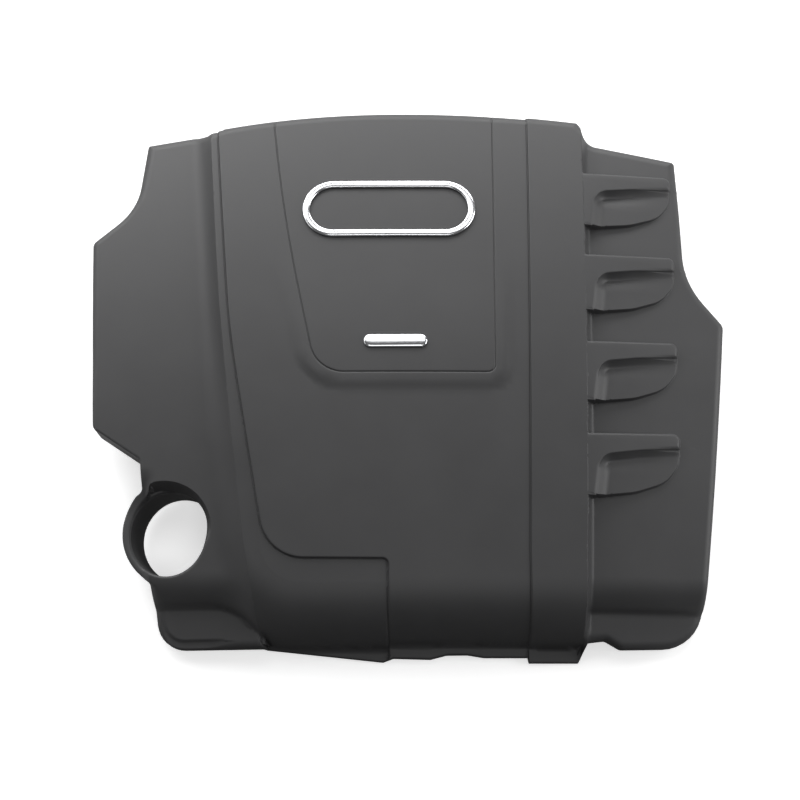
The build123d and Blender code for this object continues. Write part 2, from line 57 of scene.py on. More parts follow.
# %% Line helpers
def rounded_line(corners, closed=True, arc_points=9):
    """Line through (x, y, radius) corners. Each corner gives way to the arc that touches both its sides:
    the arc starts at the radius over the tangent of half the corner's angle."""
    corner = np.array(corners, float)
    place, radius = corner[:, :2], corner[:, 2].copy()
    if not closed:
        radius[[0, -1]] = 0
    back, ahead = np.roll(place, 1, 0) - place, np.roll(place, -1, 0) - place
    back_run, ahead_run = np.hypot(*back.T)[:, None], np.hypot(*ahead.T)[:, None]
    back, ahead = back / back_run, ahead / ahead_run
    half = np.arccos(np.clip((back * ahead).sum(1), -0.999999, 0.999999))[:, None] / 2
    trim = np.minimum(radius[:, None] / np.tan(half), 0.49 * np.minimum(back_run, ahead_run))
    middle = back + ahead
    middle = middle / np.maximum(np.hypot(*middle.T)[:, None], 1e-9)
    centre = place + middle * trim / np.cos(half)
    turn = np.pi - 2 * half
    share = np.linspace(0, 1, arc_points)
    to_start, to_end = place + back * trim - centre, place + ahead * trim - centre
    start_part = (np.sin((1 - share) * turn) / np.sin(turn))[..., None]
    end_part = (np.sin(share * turn) / np.sin(turn))[..., None]
    arcs = centre[:, None] + start_part * to_start[:, None] + end_part * to_end[:, None]
    line = np.where(trim[:, None] > 1e-6, arcs, place[:, None]).reshape(-1, 2)
    step = np.hypot(*(line - np.roll(line, 1, 0)).T)
    step[0] = 1.0 if not closed else step[0]
    return line[step > 1e-4]


def divided(line, step, closed=True):
    """The line with more points, spread evenly on each run, so that no run is longer than the step."""
    ends = np.vstack([line, line[:1]]) if closed else line
    run = np.diff(ends, axis=0)
    count = np.maximum(1, np.ceil(np.hypot(*run.T) / step)).astype(int)
    first = np.repeat(np.arange(len(count)), count)
    share = (np.arange(count.sum()) - np.repeat(np.cumsum(count) - count, count)) / count[first]
    points = ends[first] + run[first] * share[:, None]
    return points if closed else np.vstack([points, line[-1:]])


def slot_line(x, y, length, width, step=2.0):
    """Closed line of a slot shape: two straight runs and two half circles."""
    half, radius = (length - width) / 2, width / 2
    turn = np.linspace(-np.pi / 2, np.pi / 2, 33)
    right = np.column_stack([x + half + radius * np.cos(turn), y + radius * np.sin(turn)])
    return divided(np.vstack([right, (2 * x, 2 * y) - right]), step)


def side_distance(points, line, closed=False, block=3000):
    """Distance of each point from a line, plus on its left and minus on its right. Every run has a nearest
    place to the point, the nearest of these counts, and the cross product tells the side."""
    ends = np.vstack([line, line[:1]]) if closed else line
    start, run = ends[:-1], np.diff(ends, axis=0)
    size = np.maximum((run ** 2).sum(1), 1e-12)
    result = np.empty(len(points))
    for low in range(0, len(points), block):
        gap = points[low:low + block, None] - start
        share = np.clip((gap * run).sum(2) / size, 0, 1)
        square = ((gap - run * share[..., None]) ** 2).sum(2)
        best = square.argmin(1)
        row = np.arange(len(best))
        near = gap[row, best]
        side = run[best, 0] * near[:, 1] - run[best, 1] * near[:, 0]
        result[low:low + block] = np.sqrt(square[row, best]) * np.where(side < 0, -1, 1)
    return result


def inside(points, loop, block=4000):
    """True where a level ray from the point crosses the closed loop an odd number of times."""
    start, end = loop, np.roll(loop, -1, 0)
    slant = (end[:, 0] - start[:, 0]) / np.where(end[:, 1] == start[:, 1], 1e-9, end[:, 1] - start[:, 1])
    result = np.empty(len(points), bool)
    for low in range(0, len(points), block):
        x, y = points[low:low + block, :1], points[low:low + block, 1:]
        spans = (start[:, 1] > y) != (end[:, 1] > y)
        crossed = spans & (x < start[:, 0] + (y - start[:, 1]) * slant)
        result[low:low + block] = crossed.sum(1) % 2 == 1
    return result


def smooth(u):
    """Eases from 0 to 1: three u squared less two u cubed."""
    u = np.clip(u, 0, 1)
    return u * u * (3 - 2 * u)

# %% [markdown]
# ## The outline
# Seen from above the cover's edge is one closed line: a bowed rear edge, the left wing with its waist,
# the collar of the filler well, the flared front lips with a scallop, and the right wing. It is written
# as corners with radii, measured from the top of the crown. The wall's inner line is a plainer outline,
# moved in by the wall.

# %% Outline of the cover
WALL = 3.0
WELL_X, WELL_Y, WELL_LEAN = -200.6, -138.4, math.tan(math.radians(11))
WELL_WIDE, WELL_LONG = 34.6, 36.8
COLLAR_X, COLLAR_Y, COLLAR_R, COLLAR_Z = -193.5, -136.5, 48.2, 38.0


def rear_edge(x):
    """Bow of the rear edge: the drop grows with the square of the distance from the middle, and the rib and
    the panel each stand out a little past their neighbour on the left."""
    away = x + 4
    bow = np.where(away > 0, 3.4e-4, 4.7e-4 + 1.8e-9 * away ** 2) * away ** 2
    return 250.9 - bow + 1.0 * smooth((x - 110.6) / 1.4) + 0.9 * smooth((x + 167.4) / 1.4)


rear_x = np.concatenate([np.linspace(158.5, 112.2, 8), [110.4], np.linspace(100, -160, 24), [-165.9, -167.6],
                         np.linspace(-172, -181, 3)])
bow = np.column_stack([rear_x, rear_edge(rear_x), 0 * rear_x])
turn = np.radians(np.linspace(141, 239, 23))
collar_rim = np.column_stack([COLLAR_X + COLLAR_R * np.cos(turn),
                              COLLAR_Y + COLLAR_R * np.sin(turn), 0 * turn])
LEFT_SIDE = [(-196, 235.6, 8), (-238, 229.2, 2.6), (-243.2, 160.3, 55), (-281.4, 127.5, 7),
             (-269.9, -47.5, 7), (-227.2, -75.8, 5), (-225.2, -101.9, 6)]
LEFT_FOOT = [(-215.8, -181, 4), (-208.5, -234, 24)]
FRONT = [(-121, -232.5, 8), (-18.5, -243.2, 1.5), (-9.8, -239.9, 1), (22, -240.8, 6), (36, -237.2, 14),
         (54, -237, 14), (68, -239.3, 8), (105.5, -239.3, 0.4), (106.5, -243.9, 0.8),
         (148.9, -243.9, 1.2), (156, -227.5, 4), (171, -225.8, 6), (184, -233.4, 7)]
PLAIN_FRONT = [(-121, -232.5, 8), (-16, -240.5, 30), (54, -238, 60), (148.9, -243.9, 3.5), (156, -226.5, 4),
               (171, -225.8, 6), (184, -233.8, 7)]
RIGHT_SIDE = [(252, -232.4, 36), (268, -90, 800), (283, 48.3, 8.5), (250, 88.2, 72),
              (250, 212.7, 4), (172, 225.4, 12)]


def inset(corners, depth):
    """Corners of the line that lies a depth inside a closed line: each corner moves along both its sides'
    normals, an outer corner's radius shrinks by the depth and an inner one's grows."""
    corner = np.array(corners, float)
    ahead = np.roll(corner[:, :2], -1, 0) - corner[:, :2]
    ahead /= np.hypot(*ahead.T)[:, None]
    back = np.roll(ahead, 1, 0)
    normal, last = ahead[:, ::-1] * (-1, 1), back[:, ::-1] * (-1, 1)
    shift = (normal + last) * depth / (1 + (normal * last).sum(1))[:, None]
    outer = back[:, 0] * ahead[:, 1] - back[:, 1] * ahead[:, 0] > 0
    radius = np.where(outer, np.maximum(corner[:, 2] - depth, 0), corner[:, 2] + depth)
    radius = np.where(corner[:, 2] > 0, radius, 0)
    return np.column_stack([corner[:, :2] + shift, radius])


corners = [*bow, *LEFT_SIDE, *collar_rim, *LEFT_FOOT, *FRONT, *RIGHT_SIDE]
plain_corners = [*bow, *LEFT_SIDE, *collar_rim, *LEFT_FOOT, *PLAIN_FRONT, *RIGHT_SIDE]
OUTLINE = divided(rounded_line(corners), 2.5)
INNER_LINE = divided(rounded_line(inset(plain_corners, WALL)), 4.0)
print(f"outline: {len(OUTLINE)} points, inner line: {len(INNER_LINE)} points")

# %% [markdown]
# ## Lines on the roof
# Fine grooves part the main panel, the badge panel and the long rib. A ridge runs between the centre and
# the left wing, and the rib's right edge falls to the right wing. The front shoulder starts at a soft line
# that bends up round the panel's front corner, and a band's edge runs close to it.

# %% Lines on the roof
FAR = 330.0
PANEL_LINE = rounded_line([(-178.7, 310, 0), (-152, 35, 900), (-116, -163, 38), (-14, -164, 5),
                           (-14, -FAR, 0)], closed=False, arc_points=25)
BADGE_LINE = rounded_line([(-128.4, 310, 0), (-105.9, 134.5, 2000), (-76, -5.5, 30), (77.5, -5.5, 7),
                           (80.8, 310, 0)], closed=False, arc_points=17)
SEAM_LINE = np.array([(113.0, 310.0), (104.8, -160.0), (106.4, -FAR)])
RIB_EDGE = np.array([(159.8, 310.0), (145.0, -FAR)])
RIDGE_LINE = rounded_line([(-182.5, 310, 0), (-177.4, 230, 900), (-161.9, 63, 900), (-146.3, -64, 900),
                           (-135.5, -150, 300), (-128.8, -186, 100), (-123.8, -213, 60), (-117.3, -229, 30),
                           (-114, -245, 0)], closed=False)
SHOULDER_LINE = rounded_line([(-205, 310, 0), (-176, 0, 600), (-146, -125, 150), (-116, -183, 40),
                              (FAR, -182, 0)], closed=False, arc_points=17)
BAND_LINE = rounded_line([(-146, 20, 0), (-116.5, -182.5, 34), (-10, -183, 0)], closed=False, arc_points=17)
SCOOP_X, SCOOP_Y, SCOOP_R = -206.0, -137.0, 42.0
turn = np.radians(np.linspace(15, 155, 60))
SCOOP_LINE = np.column_stack([SCOOP_X + SCOOP_R * np.cos(turn), SCOOP_Y + SCOOP_R * np.sin(turn)])
print(f"panel line {len(PANEL_LINE)}, badge line {len(BADGE_LINE)}, ridge {len(RIDGE_LINE)} points")

# %% [markdown]
# ## The roof as a height over plan
# Nothing on the outside overhangs, as it has to leave the mould, so the whole skin is one height at each
# point in plan. The crown is an arc from front to rear, swung about a larger arc from side to side. At the
# front it rolls over a shoulder into a flared lip. Panels, grooves and gills are steps on it, each a smooth
# function of the distance from its line.

# %% Sections of the roof
CROWN_APEX, CROWN_FORE_AFT, CROWN_ACROSS = 76.0, 1300.0, 2500.0
CENTRE = dict(roll_y=-178.0, roll_r=58.0, steep=84.0, flare_r=6.0, lip=15.0)
LEFT = dict(roll_y=-171.0, roll_r=36.0, steep=66.0, flare_r=4.0, lip=8.0)
RIGHT = dict(roll_y=-176.0, roll_r=32.0, steep=62.0, flare_r=9.0, lip=8.0)


def roof_section(y, out, roll_y, roll_r, steep, flare_r, lip):
    """Height of the fore-and-aft section, moved out along its normal: a crown arc, a shoulder arc, a hollow
    flare arc and a straight lip, where each touches the next."""
    steep, lip = math.radians(steep), math.radians(lip)
    tip = math.asin(-roll_y / CROWN_FORE_AFT)
    crown_z = CROWN_APEX - CROWN_FORE_AFT
    roll_cy = -math.sin(tip) * (CROWN_FORE_AFT - roll_r)
    roll_cz = crown_z + math.cos(tip) * (CROWN_FORE_AFT - roll_r)
    flare_cy = roll_cy - math.sin(steep) * (roll_r + flare_r)
    flare_cz = roll_cz + math.cos(steep) * (roll_r + flare_r)
    hollow = flare_r - out
    lip_y, lip_z = flare_cy + hollow * math.sin(lip), flare_cz - hollow * math.cos(lip)
    crown = crown_z + np.sqrt((CROWN_FORE_AFT + out) ** 2 - y ** 2)
    roll = roll_cz + np.sqrt(np.maximum((roll_r + out) ** 2 - (y - roll_cy) ** 2, 0))
    flare = flare_cz - np.sqrt(np.maximum(hollow ** 2 - (y - flare_cy) ** 2, 0))
    straight = lip_z + (y - lip_y) * math.tan(lip)
    on_crown = y > -math.sin(tip) * (CROWN_FORE_AFT + out)
    on_roll = y > roll_cy - math.sin(steep) * (roll_r + out)
    return np.select([on_crown, on_roll, y > lip_y], [crown, roll, flare], straight)


def across(z, x):
    """Swings a section to the side, about an axis far below."""
    return CROWN_APEX - CROWN_ACROSS + np.sqrt((CROWN_ACROSS + z - CROWN_APEX) ** 2 - x ** 2)


# %% Heights of the centre
PANEL_RISE, RIB_RISE, PLATEAU_RISE = 2.0, 3.5, 2.2
LOOP_X, LOOP_Y, LOOP_LENGTH, LOOP_WIDTH, LOOP_BAND = -14.0, 149.0, 154.0, 56.0, 7.0
BAR_X, BAR_Y, BAR_LENGTH, BAR_WIDTH = -8.0, 22.0, 55.0, 12.0


def groove(distance, width, depth):
    """A fine groove: a bell curve of the distance from its line."""
    return depth * np.exp(-(distance / (0.5 * width)) ** 2)


def centre_height(points, depth):
    """Crown and front shoulder, out by the rise of the panel, the rib and the soft plateau under the badge
    panel, less the grooves and, outside the panel, the fall past the band's edge. Round the panel's corner
    the shoulder follows its own line."""
    x, y = points.T
    from_panel = side_distance(points, PANEL_LINE) - depth
    from_seam = side_distance(points, SEAM_LINE) - depth
    from_badge = side_distance(points, BADGE_LINE) - depth
    past_shoulder = -side_distance(points, SHOULDER_LINE)
    past_band = np.maximum(-side_distance(points, BAND_LINE), 0) * smooth((-60 - y) / 60)
    plateau = smooth((120 - y) / 125) * smooth((from_badge + 17) / 11)
    on_panel = smooth((from_panel + 0.8) / 1.6)
    out = PANEL_RISE * on_panel + (RIB_RISE - PANEL_RISE) * smooth((from_seam + 0.8) / 1.6)
    out = out - (1 - on_panel) * (1 - np.exp(-past_band / 14))
    out = out + PLATEAU_RISE * plateau - depth
    if depth == 0:
        out = out - groove(from_panel, 1.4, 1.0) - groove(from_seam, 1.2, 0.9) - groove(from_badge, 1.2, 0.8)
    bent = np.where(past_shoulder > 0, CENTRE["roll_y"] - past_shoulder, np.maximum(y, CENTRE["roll_y"]))
    bent = on_panel * y + (1 - on_panel) * bent
    level = np.sqrt(CROWN_FORE_AFT ** 2 - y ** 2) - np.sqrt(CROWN_FORE_AFT ** 2 - bent ** 2)
    return across(roof_section(bent, out, **CENTRE) + level, x)

# %% [markdown]
# ## Wings and gills
# The wings lie about a centimetre lower. A ramp joins each to the centre: on the left its width changes
# along the ridge, on the right it is fixed.
# Each gill is a finger, flush with the rib, that sinks to the right. In front of it a lens-shaped scoop lies
# half way down. A scoop's rear wall is hollow, as a ball-ended cutter leaves it, and its front edge steps
# down to the wing.

# %% Heights of the wings
LEFT_DROP, RIGHT_DROP, RIGHT_RAMP, RIGHT_TILT = 11.0, 12.2, 7.0, math.tan(math.radians(3))
GILL_PITCH, GILL_REAR = 81.8, 188.2
FINGER = rounded_line([(-30, -1.2, 0), (86, 3.2, 6), (84.6, -10.4, 2), (50, -13.2, 120), (14.5, -18.6, 14),
                       (9.5, -53.4, 1.5), (-30, -53.6, 0)])
LENS = rounded_line([(-30, -8, 0), (84.2, -8, 0), (83, -24, 18), (71, -39.5, 30), (45, -48.4, 60),
                     (14, -52.4, 60), (-30, -51.7, 0)])


def gill_place(points):
    """Each point's place in its own gill: right of the rib's edge, and in front of the gill's rear edge."""
    number = np.clip(np.floor((GILL_REAR + 12 - points[:, 1]) / GILL_PITCH), 0, 3)
    rear = GILL_REAR - GILL_PITCH * number
    edge = np.interp(rear, RIB_EDGE[::-1, 1], RIB_EDGE[::-1, 0])
    return np.column_stack([points[:, 0] - edge, points[:, 1] - rear])


def rounded_edge(distance, radius):
    """How far a surface has fallen at a distance from its edge: a quarter circle of the radius."""
    short = np.clip(radius - distance, 0, radius)
    return radius - np.sqrt(radius ** 2 - short ** 2)


def right_height(points, depth):
    """Wing with its ramp from the rib, then the lens step where it stands above the wing, then the finger,
    with a hollow under its front edge and a soft slope beside its leg."""
    x, y = points.T
    rib = across(roof_section(y, RIB_RISE - depth, **CENTRE), x)
    level = across(roof_section(y, RIB_RISE - depth, **RIGHT), x)
    from_rib = side_distance(points, RIB_EDGE) + depth - 3.5
    wing = level - RIGHT_DROP - RIGHT_TILT * (x - 158)
    wing = wing + (rib - wing) * np.clip(1 - from_rib / RIGHT_RAMP, 0, 1) ** 2
    place = gill_place(points)
    near = (place[:, 0] > -20) & (place[:, 0] < 100) & (place[:, 1] > -66)
    lens_in, finger_in = np.full(len(x), -50.0), np.full(len(x), -50.0)
    lens_in[near] = -side_distance(place[near], LENS, closed=True) - depth
    finger_in[near] = -side_distance(place[near], FINGER, closed=True) - depth
    right = np.maximum(place[:, 0], 0)
    step = smooth((lens_in + 1.2) / 1.6)
    in_front, by_leg = smooth((-9 - place[:, 1]) / 4), smooth((-20 - place[:, 1]) / 14) * step
    sunk = 4.5 * np.clip(1 + finger_in / 22, 0, 1) * np.clip(1 - right / 80, 0, 1) * (1 - by_leg)
    scoop = level - 5.5 - math.tan(math.radians(6.5)) * right - sunk
    height = wing + np.maximum(scoop - wing, 0) * step
    finger = level - math.tan(math.radians(8.2)) * right ** 2 / (right + 6)
    finger = finger - rounded_edge(finger_in, (3.0 - 2.0 * in_front) * (1 - by_leg))
    wall = smooth(1 + finger_in / 0.9)
    hollow = np.where(finger_in > 0, 1, np.clip(1 + finger_in / 6, 0, 1) ** 1.4) * step + wall * (1 - step)
    hollow = hollow + (smooth((finger_in + 10) / 13) - hollow) * by_leg
    return height + np.maximum(finger - height, 0) * (in_front * hollow + (1 - in_front) * wall)


def left_height(points, depth):
    """The wing's own crown and front roll, which bends to the front beside the ridge. It sinks to the collar
    at the left of the filler well and in a scoop behind it, and the well's edge is rounded."""
    x, y = points.T
    bent = y + 25.4 * np.clip((x + 165) / 45.5, 0, 1.1) ** 2
    wing = across(roof_section(bent, -depth, **LEFT), x) - LEFT_DROP
    beside = smooth((-214 - x) / 10) * smooth((-82 - y) / 42) * smooth((y + 198) / 24)
    scoop = np.clip((SCOOP_R + depth - np.hypot(x - SCOOP_X, y - SCOOP_Y)) / 5.5, 0, 1)
    scoop = scoop * smooth((y + 152) / 44)
    near = (x < -185) & (y < -85) & (y > -190)
    scoop[near] *= smooth((side_distance(points[near], OUTLINE, closed=True) - 6.0 - depth) / 1.8)
    height = wing + (COLLAR_Z - depth - wing) * np.maximum(beside, scoop)
    if depth == 0:
        axis_x = WELL_X - (height - COLLAR_Z) * WELL_LEAN
        from_hole = WELL_WIDE * (np.hypot((x - axis_x) / WELL_WIDE, (y - WELL_Y) / WELL_LONG) - 1)
        height = height - rounded_edge(np.maximum(from_hole, 0), 2.5)
    return height


def lower_edge(points):
    """Height of the skirt's lower edge: the centre reaches the floor, the wings end higher, and their edge
    steps down towards the front."""
    x, y = points.T
    centre = np.where(y > 0, (x > -183) & (x < 159.5), (x > -119) & (x < 149.5))
    return np.where(centre, 0.0, np.interp(y, [-198, -168], [6.0, 20.0]))


def skin_height(points, depth=0.0):
    """Height of the whole skin, or of the surface a wall's depth below it: the centre between the wings, a
    ramp to the left wing, and at depth 0 a rolled rim that falls by a quarter ellipse at the outline."""
    x, y = points.T
    centre, left = centre_height(points, depth), left_height(points, depth)
    right = right_height(points, depth)
    from_ridge = side_distance(points, RIDGE_LINE) - depth
    ramp = 20 + 8 * smooth((60 - y) / 150) - 10 * smooth((-170 - y) / 40)
    ramp = np.where(centre > left, ramp, 5)     # a short fall where the wing stands above the centre
    height = left + (centre - left) * np.clip(1 + from_ridge / ramp, 0, 1) ** 2
    on_right = side_distance(points, RIB_EDGE) > -2
    height = np.where(on_right, right, height)
    if depth:
        return height
    rim = side_distance(points, OUTLINE, closed=True)
    lip = smooth((x + 128) / 16) * smooth((154 - x) / 6) * smooth((-214 - y) / 10)
    collar = smooth((COLLAR_R + 3 - np.hypot(x - COLLAR_X, y - COLLAR_Y)) / 3) * (x < -205)
    foot = smooth((-190 - x) / 14) * smooth((-176 - y) / 16)
    hip = smooth((20 - y) / 60) * smooth((-215 - x) / 10) * (1 - foot)
    width = 6.5 + 2.0 * foot + 2.5 * smooth((y - 150) / 60) - 4.6 * hip
    width = width + (1.4 - width) * lip
    width = width + (2.2 - width) * collar
    flange = smooth((x + 212) / 12) * smooth((-140 - x) / 30) * smooth((-205 - y) / 10)
    width = width + (1.6 - width) * flange
    height = height - 2.6 * flange * smooth((6.8 - rim) / 1.6)
    fall = np.clip(height - lower_edge(points) - 1.5, 0.5, 0.7 * width)
    return height - fall * (1 - np.sqrt(1 - (1 - np.clip(rim / width, 0, 1)) ** 2))

# %% [markdown]
# ## Where the skin has its points
# A plain grid fine enough for a 2 mm groove would have millions of points. Rows of points along the lines,
# close together only across each step, show every edge crisply with few. A Delaunay triangulation joins the
# rows and a coarse grid, and the outline and the filler hole are kept in it as edges.

# %% Rows and grid
def rows(line, distances, step, closed=False):
    """Points at the given distances from a line, along it at the step: each moves along its run's normal."""
    base = divided(line, step, closed)
    ahead = np.roll(base, -1, 0) - np.roll(base, 1, 0)
    if not closed:
        ahead[0], ahead[-1] = base[1] - base[0], base[-1] - base[-2]
    normal = (ahead / np.hypot(*ahead.T)[:, None])[:, ::-1] * (-1, 1)
    points = base[:, None] + normal[:, None] * np.array(distances)[:, None]
    away = np.abs(side_distance(points.reshape(-1, 2), line, closed)).reshape(points.shape[:2])
    return points[away > 0.9 * np.abs(distances) - 1e-6]


def gill_rows(line, distances, step):
    """Rows along one gill's line, set in each of the four gills."""
    local = rows(line, distances, step, closed=True)
    local = local[local[:, 0] > 1]
    rear = GILL_REAR - GILL_PITCH * np.arange(4)
    edge = np.interp(rear, RIB_EDGE[::-1, 1], RIB_EDGE[::-1, 0])
    return (local[None] + np.column_stack([edge, rear])[:, None]).reshape(-1, 2)


def grid_points(x, y):
    """Points of a grid with these columns and rows."""
    return np.stack(np.meshgrid(x, y), -1).reshape(-1, 2)


def thinned(points, gap):
    """One point in each square of a fine grid."""
    keep = np.unique(np.round(points / gap).astype(int), axis=0, return_index=True)[1]
    return points[np.sort(keep)]


fine = [-2.4, -1.3, -0.9, -0.6, -0.3, 0, 0.3, 0.6, 0.9, 1.3, 2.4]
row_sets = [rows(PANEL_LINE, fine, 2.6), rows(SEAM_LINE, fine, 2.5), rows(BADGE_LINE, fine, 2.6),
            rows(BAND_LINE, [-3, -1, 0, 0.6, 1.5, 3, 6, 10], 4),
            rows(RIDGE_LINE, [-27, -23, -19, -16, -13, -10, -7.5, -5, -3, -1.5, -0.5, 0, 0.5, 2, 4], 4),
            rows(RIB_EDGE, [-2.5, 0, 2, 3, 3.5, 4, 4.6, 5.4, 6.4, 7.4, 8.6, 9.8, 11, 14], 4),
            gill_rows(FINGER, [-2.8, -2, -1.3, -0.7, -0.3, 0, 0.3, 0.6, 0.9, 1.4, 2.2, 3.2, 4.6, 6.4, 8.6, 11,
                               13.5], 2.2),
            gill_rows(LENS, [-1.4, -0.6, -0.2, 0.2, 0.6, 1.0, 1.4, 2.2], 2.2),
            rows(SCOOP_LINE, [-2, -1, -0.4, 0, 0.4, 1, 2, 3, 4, 5, 6, 7], 1.6)]
grid_x = np.arange(-282, 285, 5.0)
grid_y = np.concatenate([np.arange(253, -140, -5.0), np.arange(-143, -216, -3.0),
                         np.arange(-217, -246, -1.3)])
grid = grid_points(grid_x, grid_y)
row_sets.append(grid_points(np.arange(-152, -104, 1.4), np.arange(-244, -190, 1.4)))
RIM_ROWS = np.array([0.12, 0.5, 1.1, 2.0, 3.2, 4.8, 6.6, 9.0])
rim_rows = rows(OUTLINE, RIM_ROWS, 2.5, closed=True)
print(f"rows: {sum(map(len, row_sets))} points, rim rows: {len(rim_rows)}, grid: {len(grid)}")

# %% Filler hole
def well_ring(z, wall=0.0, count=96):
    """Oval round the well's leaning axis at a height, or at one height for each of its points."""
    turn = np.linspace(0, 2 * np.pi, count, endpoint=False)
    axis_x = WELL_X - (z - COLLAR_Z) * WELL_LEAN
    return np.column_stack([axis_x + (WELL_WIDE + wall) * np.cos(turn),
                            WELL_Y + (WELL_LONG + wall) * np.sin(turn)])


def on_skin(wall):
    """The ring where the leaning tube meets the skin, or its outside the inner skin: oval and height are put
    right by turns."""
    ring = well_ring(np.full(96, COLLAR_Z), wall)
    for _ in range(6):
        ring = well_ring(skin_height(ring, wall), wall)
    return ring


HOLE, INNER_HOLE = on_skin(0.0), on_skin(WALL)
hole_rows = rows(HOLE, [-0.35, -0.8, -1.4, -2.2, -3.2, -5.0], 1.8, closed=True)
print("filler hole heights:", np.round(skin_height(HOLE)[::16], 1))

# %% Triangulation
def triangles(loops, points):
    """Delaunay triangles of the points with the loops as edges, those inside the first loop and outside the
    others. Returns the points used and the triangles, turned to face up."""
    plan = np.vstack([*loops, points])
    first = np.cumsum([0] + [len(loop) for loop in loops])
    edges = np.vstack([np.column_stack([np.arange(a, b), np.roll(np.arange(a, b), -1)])
                       for a, b in zip(first[:-1], first[1:])])
    used, _, faces, source, _, _ = delaunay_2d_cdt(list(map(Vector, plan.tolist())), edges.tolist(),
                                                   [], 0, 1e-6)
    plan = plan[[s[0] for s in source]] if all(source) else np.array([tuple(v) for v in used])
    faces = np.array(faces)
    middle = plan[faces].mean(1)
    keep = inside(middle, loops[0])
    for loop in loops[1:]:
        keep &= ~inside(middle, loop)
    faces = faces[keep]
    a, b, c = plan[faces].transpose(1, 0, 2)
    area = (b[:, 0] - a[:, 0]) * (c[:, 1] - a[:, 1]) - (b[:, 1] - a[:, 1]) * (c[:, 0] - a[:, 0])
    faces[area < 0] = faces[area < 0][:, ::-1]
    return plan, faces[np.abs(area) > 1e-9]


def clear_of(points, loop, gap):
    """The points that lie inside a loop by more than a gap."""
    return points[side_distance(points, loop, closed=True) > gap]


features = thinned(np.vstack(row_sets), 0.2)
features = clear_of(features, OUTLINE, 0.8)
rim_rows = rim_rows[side_distance(rim_rows, OUTLINE, closed=True) > 0.1]
crowded = np.vstack([features, rim_rows, hole_rows])
taken = set(map(tuple, np.round(crowded / 3.0).astype(int).tolist()))
free = np.array([tuple(cell) not in taken for cell in np.round(grid / 3.0).astype(int).tolist()])
grid = clear_of(grid[free], OUTLINE, 3.0)
plan_points = thinned(np.vstack([rim_rows, hole_rows, features, grid]), 0.15)
plan_points = plan_points[-side_distance(plan_points, HOLE, closed=True) > 0.3]
TOP_PLAN, TOP_FACES = triangles([OUTLINE, HOLE], plan_points)
print(f"outer skin: {len(TOP_PLAN)} points, {len(TOP_FACES)} triangles")

# %% [markdown]
# ## One closed moulding
# The skin, its skirt, the lower rim, the inside and the filler tube are surfaces that share their edge
# points, so together they close. Each surface brings its own normals, worked out from its formula: shading
# then stays smooth over the crown and breaks cleanly at the rim. The shared points are joined at the end.

# %% Surfaces and meshes
def height_normals(plan, height, reach=0.05):
    """Normals of a height over plan: the slope across a short reach each way, turned up."""
    fall_x = (height(plan - (reach, 0)) - height(plan + (reach, 0))) / (2 * reach)
    fall_y = (height(plan - (0, reach)) - height(plan + (0, reach))) / (2 * reach)
    normal = np.column_stack([fall_x, fall_y, np.ones(len(plan))])
    return normal / np.linalg.norm(normal, axis=1)[:, None]


def skin_normals(plan):
    """Normals of the skin. At the rim those that face the rear or a side stop short of level, so that no
    shading turns away from a viewer above."""
    fall = height_normals(plan, skin_height)
    fall = fall / fall[:, 2:]
    fall[:, 0], fall[:, 1] = np.clip(fall[:, 0], -2.2, 2.2), np.minimum(fall[:, 1], 1.8)
    return fall / np.linalg.norm(fall, axis=1)[:, None]


def grid_surface(points, wrap_rows=False, wrap_columns=True):
    """Surface of a grid of points, rows by columns: two triangles to a cell, and normals from the cross
    product of the grid's own directions, on the left of a row seen along the columns."""
    rows_count, columns = points.shape[:2]
    r = np.arange(rows_count if wrap_rows else rows_count - 1)
    c = np.arange(columns if wrap_columns else columns - 1)
    r, c = (a.ravel() for a in np.meshgrid(r, c, indexing="ij"))
    r2, c2 = (r + 1) % rows_count, (c + 1) % columns
    a, b, d, e = r * columns + c, r * columns + c2, r2 * columns + c2, r2 * columns + c
    faces = np.vstack([np.column_stack([a, b, d]), np.column_stack([a, d, e])])
    return points.reshape(-1, 3), faces


def face_normals(points, faces):
    """Normals at the points: the sum of the normals, weighted by area, of the triangles round each."""
    a, b, c = points[faces].transpose(1, 0, 2)
    flat = np.cross(b - a, c - a)
    normal = np.zeros_like(points)
    for corner in range(3):
        np.add.at(normal, faces[:, corner], flat)
    return normal / np.maximum(np.linalg.norm(normal, axis=1), 1e-12)[:, None]


def joined(surfaces):
    """All surfaces as one mesh: points in the same place become one, and each triangle's corners keep the
    normals of the surface that they came from."""
    first = np.cumsum([0] + [len(points) for points, _, _ in surfaces])
    points = np.vstack([points for points, _, _ in surfaces])
    normals = np.vstack([normals for _, _, normals in surfaces])
    faces = np.vstack([faces + start for (_, faces, _), start in zip(surfaces, first)])
    _, keep, merged = np.unique(np.round(points, 3), axis=0, return_index=True, return_inverse=True)
    merged = merged.ravel()[faces]
    sound = (merged[:, 0] != merged[:, 1]) & (merged[:, 1] != merged[:, 2]) & (merged[:, 2] != merged[:, 0])
    return points[keep], merged[sound], normals[faces[sound]].reshape(-1, 3)


